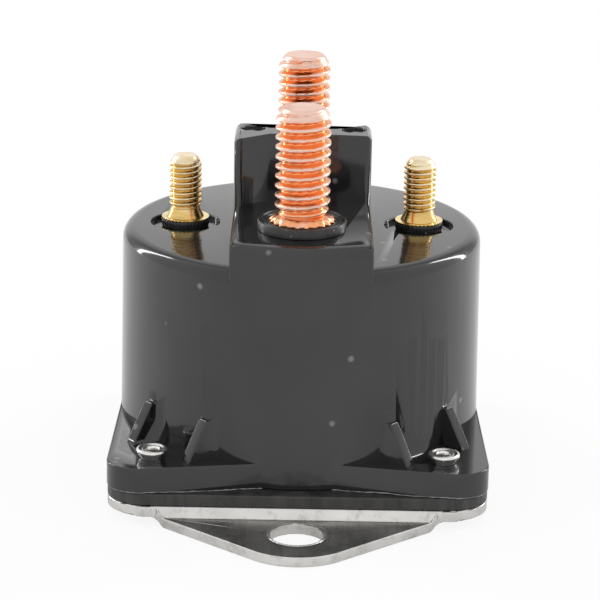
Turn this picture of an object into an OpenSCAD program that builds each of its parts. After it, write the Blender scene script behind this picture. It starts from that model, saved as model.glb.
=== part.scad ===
// Plunger-type solenoid relay: a round moulded housing on a riveted flange, two large copper contact studs
// with a barrier wall between them, and two small brass coil studs. The coil pulls a plunger up, whose rod
// lifts a copper bar against the heads of the large studs. Millimetres, +Z up, the front ear towards -Y,
// origin at the centre of the ears' undersides.

/* [Housing] */
// Diameter of the round body at its top edge
body_d = 53.6; // [52:0.2:58]
// Height of the round body from the flange to the side shelves
body_h = 28.6; // [27:0.2:36]
// Draft of the body's wall in degrees
body_draft = 0.7; // [0:0.1:1.5]
// Rounding of the body's top edge
body_edge_r = 2; // [0.8:0.1:2.4]
// Thickness of the housing's wall round the coil, at the top of the body
housing_wall = 2.4; // [1.8:0.1:4]
// Thickness of the housing's roof over the contact chamber
roof_t = 2.5; // [2:0.1:3.5]
// Height of the contact chamber under the roof
chamber_h = 12.5; // [12:0.1:16]

/* [Terminal block] */
// Width of the raised block that carries the large studs
block_w = 20.4; // [18:0.2:24]
// Height of the block above the side shelves
block_h = 3.7; // [3:0.1:6]
// Rounding of the block's front and rear lips
block_lip_r = 1.5; // [0.5:0.1:2]
// Rounding of the block's long side edges
block_side_r = 0.8; // [0.3:0.1:1.5]

/* [Barrier wall] */
// Height of the wall above the block
wall_h = 10.2; // [8:0.2:16]
// Thickness of the wall's middle stretch
wall_mid_t = 4; // [3:0.2:6]
// How far the wall's middle lies behind the studs' centre line
wall_back = 1; // [0:0.1:2]
// How far both ends flare to the rear
wall_rear_flare = 2.6; // [1:0.1:4]
// How far the left end flares to the front
wall_left_flare = 3.2; // [1:0.1:4]
// How far the right end flares to the front
wall_right_flare = 0.5; // [0.2:0.1:3]
// Rounding of the wall's corners
wall_r = 1; // [0.5:0.1:1.5]
// Diameter of the moulded dimple in the top of each end
dimple_d = 3.4; // [2:0.1:4]
// Depth of the dimples
dimple_depth = 0.4; // [0.3:0.1:2]
// How far the dimples lie behind the wall's middle
dimple_back = 1.5; // [0:0.1:2]

/* [Flange] */
// How far the flange's corners stand out past the body at each side
flange_side = 0.8; // [0.6:0.1:4]
// How far the flange's corners stand out past the body at front and rear
flange_end = 2.6; // [2:0.1:5]
// Thickness of the flange
flange_t = 3.8; // [3:0.1:6]
// Radius of the flange's corner lobes
flange_r = 4.6; // [3:0.1:6]
// How far the front and rear edges draw in at their middle
flange_waist = 2.9; // [1:0.1:3.2]
// Thickness of a gusset
gusset_t = 1.8; // [1:0.1:2.2]
// Height of a gusset above the flange
gusset_h = 5.8; // [3:0.1:8]
// How far a gusset reaches out over the flange
gusset_reach = 4.2; // [3:0.1:4.6]
// Distance between the two gussets of a corner
gusset_gap = 11; // [10:0.2:12]

/* [Mounting plate] */
// Thickness of the steel sheet, which is also how far the ears are joggled down
plate_t = 1.5; // [1.2:0.1:2]
// Thickness of the rubber gasket
gasket_t = 1.8; // [1:0.1:3]
// Distance from the joggle's riser to the centre of an ear hole
ear_reach = 5.6; // [5:0.1:9]
// Diameter of an ear hole
ear_hole_d = 7.7; // [5:0.1:9]
// Radius of an ear's round tip
ear_tip_r = 9.4; // [8:0.1:10]
// Sheet left between an ear hole and the tip
ear_land = 4.25; // [3:0.05:6]
// Width of an ear where it leaves the flange
ear_root_w = 39; // [32:0.5:44]

/* [Rivets] */
// How far the rivets lie inside the flange's sides
rivet_side_inset = 6.5; // [5:0.1:7.5]
// How far the rivets lie inside the flange's ends
rivet_end_inset = 5; // [4:0.1:6]
// Diameter of a rivet's shank
rivet_d = 3.2; // [2.5:0.1:4]
// Diameter of a rivet's rolled top
rivet_roll_d = 4.5; // [4.2:0.1:6]
// Diameter of a rivet's bore
rivet_bore_d = 1.9; // [1:0.1:2.2]

/* [Contact studs] */
// How far the large studs' centres lie inside the body's rim
stud_inset = 10.925; // [10:0.025:12]
// Outer diameter of the large studs' thread
stud_d = 7.94; // [6:0.02:9]
// Pitch of the large thread
stud_pitch = 1.411; // [1:0.001:1.6]
// Height of the front large stud above the block
stud_h = 17.9; // [14:0.1:24]
// How much higher the rear large stud stands
stud_rise = 0.8; // [0:0.1:2]
// Diameter of the contact head inside the housing
stud_head_d = 12; // [10:0.2:13]
// Thickness of the contact head
stud_head_t = 2.5; // [2:0.1:3]
// Diameter of the insulating washer under a large stud's thread
stud_washer_d = 12.8; // [12:0.1:15]
// Thickness of that washer
stud_washer_t = 1.4; // [0.8:0.1:2]

/* [Coil studs] */
// Place of the small studs on their shelf, from close beside the block to the contact chamber's wall
pin_place_share = 0.77; // [0:0.01:1]
// Outer diameter of the small studs' thread
pin_d = 4.83; // [4:0.01:5]
// Pitch of the small thread
pin_pitch = 0.794; // [0.7:0.001:1]
// Height of the small studs above the shelves
pin_h = 10.3; // [8:0.1:14]
// Diameter of the brass collar and of the washer under it
collar_d = 7.2; // [6.6:0.1:8.6]
// Thickness of the collar
collar_t = 0.3; // [0.2:0.1:2.4]
// Thickness of the washer under the collar
pin_washer_t = 1.3; // [1:0.1:2]
// Diameter of the round recess that the washer stands in
recess_d = 10.3; // [9.6:0.1:12]
// Depth of that recess
recess_depth = 0.7; // [0.2:0.1:1]

/* [Coil and magnet frame] */
// How far the bobbin's flanges stand out past the winding
bobbin_rim = 1.5; // [0.8:0.1:2.5]
// Gap between the bobbin's flanges and the steel can
coil_gap = 2; // [0.5:0.1:3]
// Length of the fixed core inside the bobbin
core_l = 5.4; // [4:0.1:7]
// Thickness of the bobbin's flanges
bobbin_flange_t = 1.2; // [0.8:0.1:1.6]
// Wall of the bobbin's tube
bobbin_wall = 1; // [0.8:0.1:1.5]
// Thickness of the steel can round the coil
can_t = 1.2; // [0.8:0.1:1.5]
// Thickness of the flux plate on top of the can
flux_t = 1.8; // [1.2:0.1:2]

/* [Plunger and contact] */
// Travel of the plunger
plunger_travel = 2.3; // [1.8:0.1:2.6]
// Travel of the contact bar until it meets the stud heads
contact_travel = 1.8; // [1.4:0.1:2]
// Bore radius of the guide sleeve
sleeve_r = 6.2; // [5.6:0.1:6.6]
// Wall of the guide sleeve
sleeve_t = 0.35; // [0.3:0.05:0.5]
// Radius of the push rod
rod_r = 1.8; // [1.5:0.1:2]
// Thickness of the contact bar
bar_t = 1.8; // [1.4:0.1:2]
// Width of the contact bar
bar_w = 15; // [13:0.5:16]
// How far the bar reaches past the studs' centres
bar_over = 4.6; // [3.5:0.1:5]

/* [Hidden] */

// Clearances: a fixed fit, a running fit, a resting gap between bodies, and the overrun of every cut
fit = 0.05;
run = 0.08;
rest_gap = 0.3;
over = 1;
curve = 96;
small_curve = 48;
arc_steps = 8;

// Heights, from the ears' undersides up
z_plate = plate_t;
z_plate_top = z_plate + plate_t;
z_flange = z_plate_top + gasket_t;
z_flange_top = z_flange + flange_t;
z_shelf = z_flange_top + body_h;
z_floor = z_shelf + block_h;
z_wall = z_floor + wall_h;
z_ceiling = z_shelf - roof_t;
z_head = z_ceiling - stud_head_t;

// Round body
body_r = body_d / 2;
body_foot_r = body_r + (body_h - body_edge_r) * tan(body_draft);
flange_w = body_d + 2 * flange_side;
flange_l = body_d + 2 * flange_end;
rivet_x = flange_w - 2 * rivet_side_inset;
rivet_y = flange_l - 2 * rivet_end_inset;
stud_spacing = body_d - 2 * stud_inset;

// Magnet frame: from the chamber down to the mounting plate, and from the housing's wall inwards
z_flux_top = z_ceiling - chamber_h;
z_bobbin_top = z_flux_top - flux_t;
z_winding = z_plate_top + bobbin_flange_t;
winding_l = z_bobbin_top - bobbin_flange_t - z_winding;
can_play = 0.2;
cavity_r = body_r - housing_wall;
chamber_r = cavity_r - flux_t;
pin_head_r = 4;
pin_low = block_w / 2 + collar_d / 2;
pin_high = chamber_r - pin_head_r;
pin_spacing = 2 * (pin_low + pin_place_share * (pin_high - pin_low));
can_r = cavity_r - can_play;
bobbin_r = can_r - can_t - coil_gap;
winding_r = bobbin_r - bobbin_rim;
bobbin_bore_r = sleeve_r + sleeve_t + fit;
bobbin_tube_r = bobbin_bore_r + bobbin_wall;
wrap_t = 0.4;

// Plunger, core and push rod
pad_t = 0.8;
plunger_r = sleeve_r - run;
z_plunger = z_plate_top + pad_t + rest_gap;
core_gap = 0.2;
z_core = z_bobbin_top - core_l;
z_plunger_top = z_core - core_gap - plunger_travel;
plunger_l = z_plunger_top - z_plunger;
core_r = sleeve_r - fit;
core_neck_r = 4.4;
core_head_r = 5.2;
core_head_t = 0.6;
z_core_top = z_flux_top + core_head_t;
rod_seat = 0.5;
rod_bore_r = rod_r + fit;
rod_slide_r = rod_r + run;
spring_well_r = 4.2;
rod_hold = 3.4;
spring_well = plunger_l - rod_hold;

// Contact stack on the rod, from the stud heads down
contact_gap = 0.1;
z_bar_top = z_head - contact_travel - contact_gap;
z_bar = z_bar_top - bar_t;
bush_flange_t = 0.7;
bush_flange_r = 4;
bush_hub_r = 2.9;
z_bush = z_bar - bush_flange_t;
stack_washer_t = 0.6;
z_stack_washer = z_bar_top + fit;
clip_t = 0.5;
clip_r = 3.2;
z_clip = z_stack_washer + stack_washer_t + rest_gap;
rod_tip = 0.4;
z_rod_top = z_clip + clip_t + rod_tip;
seat_t = 0.6;
seat_r = 3.6;
seat_lift = 1.1;
z_seat = z_core_top + seat_lift;
bar_l = stud_spacing + 2 * bar_over;
tip_pocket_r = seat_r;
z_tip_pocket = z_rod_top + plunger_travel + rest_gap;

// Springs: wire radius, coil radius and number of turns
return_wire_r = 0.4;
return_coil_r = 3.1;
return_turns = 5;
contact_wire_r = 0.28;
contact_coil_r = 2.9;
contact_turns = 2.5;
spring_sides = 6;
spring_rings = 8;

// Guide ribs beside the contact bar
rib_t = 1.2;
rib_l = 10;
rib_drop = bar_t + stud_head_t + contact_travel + contact_gap + over;

// Large stud: shank, serrated skirt and thread
stud_r = stud_d / 2;
stud_chamfer = 1.2;
stud_tip_r = 2.8;
skirt_r = stud_r + 0.35;
skirt_t = 0.9;
thread_depth_share = 0.58;
crest_shares = [0.40, 0.56];

// Small stud: shank, head and thread
pin_r = pin_d / 2;
pin_head_t = 1.3;
pin_chamfer = 0.7;
pin_tip_r = 1.5;
z_pin_top = z_shelf + pin_h;
z_pin_washer = z_shelf - recess_depth;
z_collar = z_pin_washer + pin_washer_t;

// Lead straps and the notches that they pass
strap_w = 2.2;
strap_t = 0.5;
notch_w = 4;
notch_in = strap_t + 1;
strap_x = min(pin_spacing / 2, winding_r - strap_t);

// Flange outline
flange_mid_x = 4.7;
flange_side_waist = 0.4;
gusset_turn = 9;

// Plate outline
riser_out = 0.6;
riser_y = flange_l / 2 + riser_out;
bend_r = 0.7;
ear_y = riser_y + ear_reach;
ear_tip_y = ear_y + ear_hole_d / 2 + ear_land;
plate_corner_r = 5.5;
rivet_roll_h = 1.5;
rivet_head_r = 2.7;
rivet_head_t = 0.7;

// Points of an arc from angle a to angle b about (x, y)
function arc(x, y, r, a, b) =
    [for (i = [0 : arc_steps]) let (t = a + (b - a) * i / arc_steps) [x + r * cos(t), y + r * sin(t)]];

// Outline of a rectangle with round corners, w by l about the origin
function round_rect(w, l, r) = concat(
    arc(w / 2 - r, l / 2 - r, r, 0, 90),
    arc(r - w / 2, l / 2 - r, r, 90, 180),
    arc(r - w / 2, r - l / 2, r, 180, 270),
    arc(w / 2 - r, r - l / 2, r, 270, 360));

// Radius of the body's drafted wall at height z
function wall_radius(z) = body_foot_r - (z - z_flange_top) * tan(body_draft);

// Profile of the drafted round body up to height z, with its top edge rounded by r
function body_profile(z, r) = concat(
    [[0, z_flange], [body_foot_r, z_flange], [body_foot_r, z_flange_top]],
    arc(wall_radius(z - r) - r, z - r, r, 0, 90),
    [[0, z]]);

// Profile of a threaded rod: ridges of the given pitch from z_low to z_high, then a chamfered tip
function thread_profile(r, pitch, z_low, z_high, chamfer, tip_r) =
    let (root = r - pitch * thread_depth_share,
         count = floor((z_high - z_low - chamfer) / pitch))
    concat(
        [[0, z_low], [root, z_low]],
        [for (i = [0 : count - 1], k = [0 : 2])
            let (z = z_low + i * pitch)
            k == 0 ? [r, z + pitch * crest_shares[0]]
            : k == 1 ? [r, z + pitch * crest_shares[1]]
            : [root, z + pitch]],
        [[r, z_high - chamfer], [tip_r, z_high], [0, z_high]]);

// Centre of a helix's wire after share t of its turns
function helix_point(r, z_low, z_high, turns, t) =
    [r * cos(360 * turns * t), r * sin(360 * turns * t), z_low + (z_high - z_low) * t];

// A coil spring about +Z: one unbroken tube from z_low to z_high, measured at its wire's centre
module spring(coil_r, wire_r, turns, z_low, z_high) {
    steps = spring_rings * turns;
    rise = (z_high - z_low) / turns;
    lean = atan2(rise, 2 * PI * coil_r);
    points = [for (i = [0 : steps], j = [0 : spring_sides - 1])
        let (c = helix_point(coil_r, z_low, z_high, turns, i / steps),
             turn = 360 * turns * i / steps,
             side = 360 * j / spring_sides,
             out = wire_r * cos(side),
             up = wire_r * sin(side))
        [c[0] + out * cos(turn) + up * sin(lean) * sin(turn),
         c[1] + out * sin(turn) - up * sin(lean) * cos(turn),
         c[2] + up * cos(lean)]];
    walls = [for (i = [0 : steps - 1], j = [0 : spring_sides - 1])
        let (a = i * spring_sides + j,
             b = i * spring_sides + (j + 1) % spring_sides)
        each [[a, b, b + spring_sides], [a, b + spring_sides, a + spring_sides]]];
    first = [for (j = [1 : spring_sides - 2]) [0, j + 1, j]];
    last = [for (j = [1 : spring_sides - 2])
        [steps * spring_sides, steps * spring_sides + j, steps * spring_sides + j + 1]];
    echo("least gap between a spring's turns", rise * cos(lean) - 2 * wire_r);
    polyhedron(points, concat(walls, first, last));
}

// A ring with a square section
module ring(outer_r, inner_r, z_low, z_high) {
    difference() {
        translate([0, 0, z_low]) cylinder(r = outer_r, h = z_high - z_low, $fn = curve);
        translate([0, 0, z_low - over]) cylinder(r = inner_r, h = z_high - z_low + 2 * over, $fn = curve);
    }
}

module at_rivets() {
    for (x = [-1, 1], y = [-1, 1]) translate([x * rivet_x / 2, y * rivet_y / 2, 0]) children();
}

// Flange outline: round corner lobes, with each edge drawn in towards its middle
module flange_outline() {
    front = flange_l / 2 - flange_waist;
    side = flange_w / 2 - flange_side_waist;
    polygon(concat(
        [[side, 0]],
        arc(flange_w / 2 - flange_r, flange_l / 2 - flange_r, flange_r, 0, 90),
        [[flange_mid_x, front], [-flange_mid_x, front]],
        arc(flange_r - flange_w / 2, flange_l / 2 - flange_r, flange_r, 90, 180),
        [[-side, 0]],
        arc(flange_r - flange_w / 2, flange_r - flange_l / 2, flange_r, 180, 270),
        [[-flange_mid_x, -front], [flange_mid_x, -front]],
        arc(flange_w / 2 - flange_r, flange_r - flange_l / 2, flange_r, 270, 360)));
}

// One gusset: a triangle that leans on the body beside a rivet, turned a little away from it
module gusset(offset) {
    root = sqrt(pow(body_r, 2) - pow(offset, 2));
    translate([root, offset - gusset_t / 2, 0]) rotate([0, 0, -gusset_turn])
        rotate([90, 0, 0]) mirror([0, 0, 1]) linear_extrude(gusset_t)
            polygon([
                [-gusset_t, z_flange_top - flange_t / 2],
                [gusset_reach, z_flange_top - flange_t / 2],
                [gusset_reach, z_flange_top],
                [gusset_reach - gusset_t / 4, z_flange_top + gusset_t / 2],
                [gusset_t / 2, z_flange_top + gusset_h],
                [-gusset_t, z_flange_top + gusset_h]]);
}

// The block: the body's own curve at front and rear, straight sides with rounded edges
module block() {
    half = block_w / 2;
    intersection() {
        rotate_extrude($fn = curve) polygon(body_profile(z_floor, block_lip_r));
        rotate([90, 0, 0]) translate([0, 0, -body_d]) linear_extrude(2 * body_d)
            polygon(concat(
                [[-half, z_ceiling], [half, z_ceiling]],
                arc(half - block_side_r, z_floor - block_side_r, block_side_r, 0, 90),
                arc(block_side_r - half, z_floor - block_side_r, block_side_r, 90, 180)));
    }
}

// The barrier wall: an hourglass in plan whose ends flare, cut to round top corners in front view
module barrier_wall() {
    half = block_w / 2;
    front = wall_back - wall_mid_t / 2;
    rear = wall_back + wall_mid_t / 2;
    waist = half - 2 * wall_mid_t / 3 - wall_rear_flare;
    intersection() {
        translate([0, 0, z_shelf]) linear_extrude(z_wall - z_shelf)
            polygon(concat(
                [[-waist, rear]],
                [[waist, rear]],
                arc(half - wall_r, rear + wall_rear_flare - wall_r, wall_r, 100, 0),
                arc(half - wall_r, front - wall_right_flare + wall_r, wall_r, 0, -90),
                [[waist, front]],
                [[-waist, front]],
                arc(wall_r - half, front - wall_left_flare + wall_r, wall_r, 280, 180),
                arc(wall_r - half, rear + wall_rear_flare - wall_r, wall_r, 180, 80)));
        rotate([90, 0, 0]) translate([0, 0, -body_d]) linear_extrude(2 * body_d)
            polygon(concat(
                [[-half, z_shelf], [half, z_shelf]],
                arc(half - wall_r, z_wall - wall_r, wall_r, 0, 90),
                arc(wall_r - half, z_wall - wall_r, wall_r, 90, 180)));
    }
}

module housing() {
    dimple_x = block_w / 2 - dimple_d / 2 - wall_r;
    rib_x = bar_w / 2 + rest_gap;
    color([0.06, 0.06, 0.07]) {
        difference() {
            union() {
                rotate_extrude($fn = curve) polygon(body_profile(z_shelf, body_edge_r));
                translate([0, 0, z_flange]) linear_extrude(flange_t) flange_outline();
                block();
                barrier_wall();
                for (x = [0, 1], y = [0, 1]) mirror([x, 0, 0]) mirror([0, y, 0])
                    rotate([0, 0, atan2(rivet_y, rivet_x)]) {
                        gusset(gusset_gap / 2);
                        gusset(-gusset_gap / 2);
                    }
            }
            cylinder(r = cavity_r, h = z_flux_top, $fn = curve);
            cylinder(r = chamber_r, h = z_ceiling, $fn = curve);
            cylinder(r = tip_pocket_r, h = z_tip_pocket, $fn = small_curve);
            for (y = [-1, 1]) translate([0, y * stud_spacing / 2, 0])
                cylinder(r = stud_r + fit, h = z_wall, $fn = small_curve);
            for (x = [-1, 1]) translate([x * pin_spacing / 2, 0, 0]) {
                cylinder(r = pin_r + fit, h = z_wall, $fn = small_curve);
                translate([0, 0, z_pin_washer]) cylinder(r = recess_d / 2, h = over, $fn = small_curve);
            }
            for (x = [-1, 1]) translate([x * dimple_x, wall_back + dimple_back, z_wall - dimple_depth])
                cylinder(r = dimple_d / 2, h = dimple_depth + over, $fn = small_curve);
            at_rivets() cylinder(r = rivet_d / 2 + fit, h = z_shelf, $fn = small_curve);
        }
        for (x = [-1, 1]) translate([x * (rib_x + rib_t / 2), 0, z_ceiling - rib_drop / 2])
            cube([rib_t, rib_l, rib_drop], center = true);
    }
}

module gasket() {
    color([0.05, 0.05, 0.05]) difference() {
        translate([0, 0, z_plate_top]) linear_extrude(gasket_t)
            polygon(round_rect(flange_w, 2 * riser_y - plate_t / 2, plate_corner_r));
        cylinder(r = cavity_r, h = z_flange_top, $fn = curve);
        at_rivets() cylinder(r = rivet_d / 2 + fit, h = z_flange_top, $fn = small_curve);
    }
}

// Outline of the ears: each side runs straight from under the gasket to a round tip
module ear_outline() {
    tip_y = ear_tip_y - ear_tip_r;
    reach = [ear_root_w / 2, riser_y - tip_y];
    touch = atan2(reach[1], reach[0]) + acos(ear_tip_r / norm(reach));
    under = riser_y - plate_t;
    spread = reach[0] + plate_t * tan(touch);
    for (m = [0, 1]) mirror([0, m])
        polygon(concat(
            [[-spread, under - over], [spread, under - over], [spread, under]],
            arc(0, tip_y, ear_tip_r, touch, 180 - touch),
            [[-spread, under]]));
}

// Section of the sheet seen from the side: flat under the gasket, joggled down at both ears
module plate_section() {
    inner = riser_y - plate_t;
    polygon(concat(
        [[-ear_tip_y, 0], [-inner, 0], [-inner, z_plate], [inner, z_plate], [inner, 0], [ear_tip_y, 0]],
        [[ear_tip_y, plate_t], [riser_y, plate_t]],
        arc(riser_y - bend_r, z_plate_top - bend_r, bend_r, 0, 90),
        arc(bend_r - riser_y, z_plate_top - bend_r, bend_r, 90, 180),
        [[-riser_y, plate_t], [-ear_tip_y, plate_t]]));
}

module mounting_plate() {
    color([0.78, 0.78, 0.76]) difference() {
        union() {
            translate([0, 0, z_plate]) linear_extrude(plate_t)
                polygon(round_rect(flange_w, 2 * (riser_y - bend_r), plate_corner_r));
            intersection() {
                linear_extrude(z_plate_top) ear_outline();
                rotate([90, 0, 90]) translate([0, 0, -flange_w]) linear_extrude(2 * flange_w) plate_section();
            }
        }
        for (y = [-1, 1]) translate([0, y * ear_y, -over])
            cylinder(r = ear_hole_d / 2, h = z_plate_top + 2 * over, $fn = small_curve);
        at_rivets() cylinder(r = rivet_d / 2 + fit, h = z_flange, $fn = small_curve);
    }
}

// Tubular rivets: a flat head under the plate, a rolled ring on the flange
module rivets() {
    low = z_plate - rivet_head_t;
    mean_r = (rivet_roll_d + rivet_bore_d) / 4;
    color([0.8, 0.8, 0.8]) at_rivets() rotate_extrude($fn = small_curve)
        polygon(concat(
            [[rivet_bore_d / 2, low], [rivet_head_r, low], [rivet_head_r, z_plate], [rivet_d / 2, z_plate]],
            [[rivet_d / 2, z_flange_top], [rivet_roll_d / 2, z_flange_top]],
            [for (p = arc(0, 0, 1, 0, 180)) [
                mean_r + p[0] * (rivet_roll_d / 2 - mean_r),
                z_flange_top + rivet_roll_h / 2 + p[1] * rivet_roll_h / 2]]));
}

// A large stud: contact head, plain shank through the roof, skirt above the washer, then the thread
module main_stud(y, height) {
    z_skirt = z_floor + stud_washer_t;
    color([0.85, 0.45, 0.28]) translate([0, y, 0]) {
        translate([0, 0, z_head]) cylinder(r = stud_head_d / 2, h = stud_head_t, $fn = curve);
        translate([0, 0, z_head]) cylinder(r = stud_r, h = z_skirt - z_head, $fn = curve);
        translate([0, 0, z_skirt]) cylinder(r = skirt_r, h = skirt_t, $fn = curve);
        rotate_extrude($fn = small_curve)
            polygon(thread_profile(stud_r, stud_pitch, z_skirt, z_floor + height, stud_chamfer, stud_tip_r));
    }
}

module main_washer(y) {
    color([0.08, 0.08, 0.08]) translate([0, y, 0])
        ring(stud_washer_d / 2, stud_r + fit, z_floor, z_floor + stud_washer_t);
}

// A small stud: inner head, plain shank through the roof and the washer, then the thread
module coil_stud(x) {
    z_thread = z_collar + collar_t;
    color([0.8, 0.66, 0.35]) translate([x, 0, 0]) {
        translate([0, 0, z_ceiling - pin_head_t]) cylinder(r = pin_head_r, h = pin_head_t, $fn = small_curve);
        translate([0, 0, z_ceiling - pin_head_t])
            cylinder(r = pin_r, h = z_thread - z_ceiling + pin_head_t, $fn = small_curve);
        rotate_extrude($fn = small_curve)
            polygon(thread_profile(pin_r, pin_pitch, z_thread, z_pin_top, pin_chamfer, pin_tip_r));
    }
}

module coil_collar(x) {
    color([0.82, 0.7, 0.4]) translate([x, 0, 0])
        ring(collar_d / 2, pin_r + fit, z_collar, z_collar + collar_t);
}

module coil_washer(x) {
    color([0.06, 0.06, 0.06]) translate([x, 0, 0])
        ring(collar_d / 2, pin_r + fit, z_pin_washer, z_collar);
}

module strap_notches(z_low, z_high, edge_r) {
    for (x = [-1, 1]) translate([x * (strap_x + edge_r) / 2, 0, (z_low + z_high) / 2])
        cube([edge_r - strap_x + 2 * notch_in, notch_w, z_high - z_low], center = true);
}

module bobbin() {
    color([0.92, 0.9, 0.84]) difference() {
        union() {
            ring(bobbin_r, bobbin_bore_r, z_plate_top, z_winding);
            ring(bobbin_tube_r, bobbin_bore_r, z_plate_top, z_bobbin_top);
            ring(bobbin_r, bobbin_bore_r, z_bobbin_top - bobbin_flange_t, z_bobbin_top);
        }
        strap_notches(z_bobbin_top - bobbin_flange_t - fit, z_bobbin_top + over, bobbin_r);
    }
}

module coil_winding() {
    color([0.72, 0.36, 0.16])
        ring(winding_r, bobbin_tube_r + fit, z_winding + fit, z_winding + winding_l - fit);
}

module coil_wrap() {
    color([0.75, 0.62, 0.35])
        ring(winding_r + fit + wrap_t, winding_r + fit, z_winding + fit, z_winding + winding_l - fit);
}

module flux_can() {
    color([0.6, 0.6, 0.62]) ring(can_r, can_r - can_t, z_plate_top, z_bobbin_top);
}

module flux_plate() {
    color([0.62, 0.62, 0.64]) difference() {
        ring(can_r, core_neck_r + fit, z_bobbin_top, z_flux_top);
        strap_notches(z_bobbin_top - over, z_flux_top + over, winding_r);
    }
}

// The core hangs from the flux plate by its neck, riveted over on top
module fixed_core() {
    color([0.55, 0.55, 0.57]) rotate_extrude($fn = curve) polygon([
        [rod_slide_r, z_core],
        [core_r, z_core],
        [core_r, z_bobbin_top],
        [core_neck_r, z_bobbin_top],
        [core_neck_r, z_flux_top],
        [core_head_r, z_flux_top],
        [core_head_r, z_core_top],
        [rod_slide_r, z_core_top]]);
}

module guide_sleeve() {
    color([0.8, 0.65, 0.3]) ring(sleeve_r + sleeve_t, sleeve_r, z_plate_top, z_bobbin_top);
}

// Flat strap from a small stud's head down to the winding
module lead_strap(side) {
    low = z_winding + winding_l - fit;
    color([0.8, 0.5, 0.3]) translate([side * (strap_x - strap_t / 2), 0, (low + z_ceiling - pin_head_t) / 2])
        cube([strap_t, strap_w, z_ceiling - pin_head_t - low], center = true);
}

module bump_pad() {
    color([0.1, 0.1, 0.1]) translate([0, 0, z_plate_top])
        cylinder(r = sleeve_r - fit, h = pad_t, $fn = curve);
}

module return_spring() {
    color([0.75, 0.75, 0.78]) spring(return_coil_r, return_wire_r, return_turns,
        z_plunger_top - spring_well + return_wire_r + fit, z_core - return_wire_r - fit);
}

module plunger() {
    color([0.6, 0.6, 0.63]) difference() {
        translate([0, 0, z_plunger]) cylinder(r = plunger_r, h = plunger_l, $fn = curve);
        translate([0, 0, z_plunger + rod_seat]) cylinder(r = rod_bore_r, h = plunger_l, $fn = small_curve);
        translate([0, 0, z_plunger_top - spring_well])
            cylinder(r = spring_well_r, h = plunger_l, $fn = small_curve);
    }
}

module push_rod() {
    color([0.8, 0.68, 0.38]) translate([0, 0, z_plunger + rod_seat])
        cylinder(r = rod_r, h = z_rod_top - z_plunger - rod_seat, $fn = small_curve);
}

module spring_seat() {
    color([0.7, 0.7, 0.72]) ring(seat_r, rod_bore_r, z_seat, z_seat + seat_t);
}

module retaining_clip() {
    color([0.7, 0.7, 0.72]) ring(clip_r, rod_bore_r, z_clip, z_clip + clip_t);
}

module contact_spring() {
    color([0.75, 0.75, 0.78]) spring(contact_coil_r, contact_wire_r, contact_turns,
        z_seat + seat_t + contact_wire_r + fit, z_bush - contact_wire_r - fit);
}

module contact_bush() {
    color([0.85, 0.8, 0.7]) rotate_extrude($fn = small_curve) polygon([
        [rod_slide_r, z_bush],
        [bush_flange_r, z_bush],
        [bush_flange_r, z_bar],
        [bush_hub_r, z_bar],
        [bush_hub_r, z_bar_top],
        [rod_slide_r, z_bar_top]]);
}

// The moving contact: a copper bar with round ends
module contact_bar() {
    color([0.85, 0.45, 0.28]) difference() {
        translate([0, 0, z_bar]) linear_extrude(bar_t) polygon(round_rect(bar_w, bar_l, bar_w / 2 - fit));
        translate([0, 0, z_bar - over])
            cylinder(r = bush_hub_r + fit, h = bar_t + 2 * over, $fn = small_curve);
    }
}

module contact_washer() {
    color([0.85, 0.8, 0.7]) ring(bush_flange_r, rod_slide_r, z_stack_washer, z_stack_washer + stack_washer_t);
}

housing();
gasket();
mounting_plate();
rivets();
main_stud(-stud_spacing / 2, stud_h);  // main_stud_front
main_stud(stud_spacing / 2, stud_h + stud_rise);  // main_stud_rear
main_washer(-stud_spacing / 2);  // main_washer_front
main_washer(stud_spacing / 2);  // main_washer_rear
coil_stud(-pin_spacing / 2);  // coil_stud_left
coil_stud(pin_spacing / 2);  // coil_stud_right
coil_collar(-pin_spacing / 2);  // coil_collar_left
coil_collar(pin_spacing / 2);  // coil_collar_right
coil_washer(-pin_spacing / 2);  // coil_washer_left
coil_washer(pin_spacing / 2);  // coil_washer_right
bobbin();
coil_winding();
coil_wrap();
flux_can();
flux_plate();
fixed_core();
guide_sleeve();
lead_strap(-1);  // lead_strap_left
lead_strap(1);  // lead_strap_right
bump_pad();
return_spring();
plunger();
push_rod();
spring_seat();
retaining_clip();
contact_spring();
contact_bush();
contact_bar();
contact_washer();
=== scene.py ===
# Solenoid relay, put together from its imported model: the housing and its gasket on the joggled plate,
# the four rivets, the two copper contact studs, the two brass coil studs, and the magnet parts inside.
# Lengths are metres, +Z is up and the front ear points to -Y.
import math
import random

import bmesh
import bpy
from mathutils import Matrix, Vector


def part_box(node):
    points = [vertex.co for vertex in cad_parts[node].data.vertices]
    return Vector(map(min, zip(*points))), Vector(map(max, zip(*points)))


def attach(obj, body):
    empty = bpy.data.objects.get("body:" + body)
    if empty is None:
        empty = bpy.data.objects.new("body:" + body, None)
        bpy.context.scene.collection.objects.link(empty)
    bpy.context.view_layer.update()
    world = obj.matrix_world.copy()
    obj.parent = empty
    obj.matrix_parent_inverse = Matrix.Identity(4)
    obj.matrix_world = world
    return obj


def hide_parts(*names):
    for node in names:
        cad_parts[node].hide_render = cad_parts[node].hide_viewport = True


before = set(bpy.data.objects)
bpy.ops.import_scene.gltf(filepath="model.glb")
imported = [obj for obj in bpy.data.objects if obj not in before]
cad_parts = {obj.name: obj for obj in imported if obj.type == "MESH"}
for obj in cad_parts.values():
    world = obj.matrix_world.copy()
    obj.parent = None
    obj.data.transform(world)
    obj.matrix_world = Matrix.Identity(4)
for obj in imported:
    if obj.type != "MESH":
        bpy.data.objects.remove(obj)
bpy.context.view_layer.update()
MM = 0.001

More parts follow.
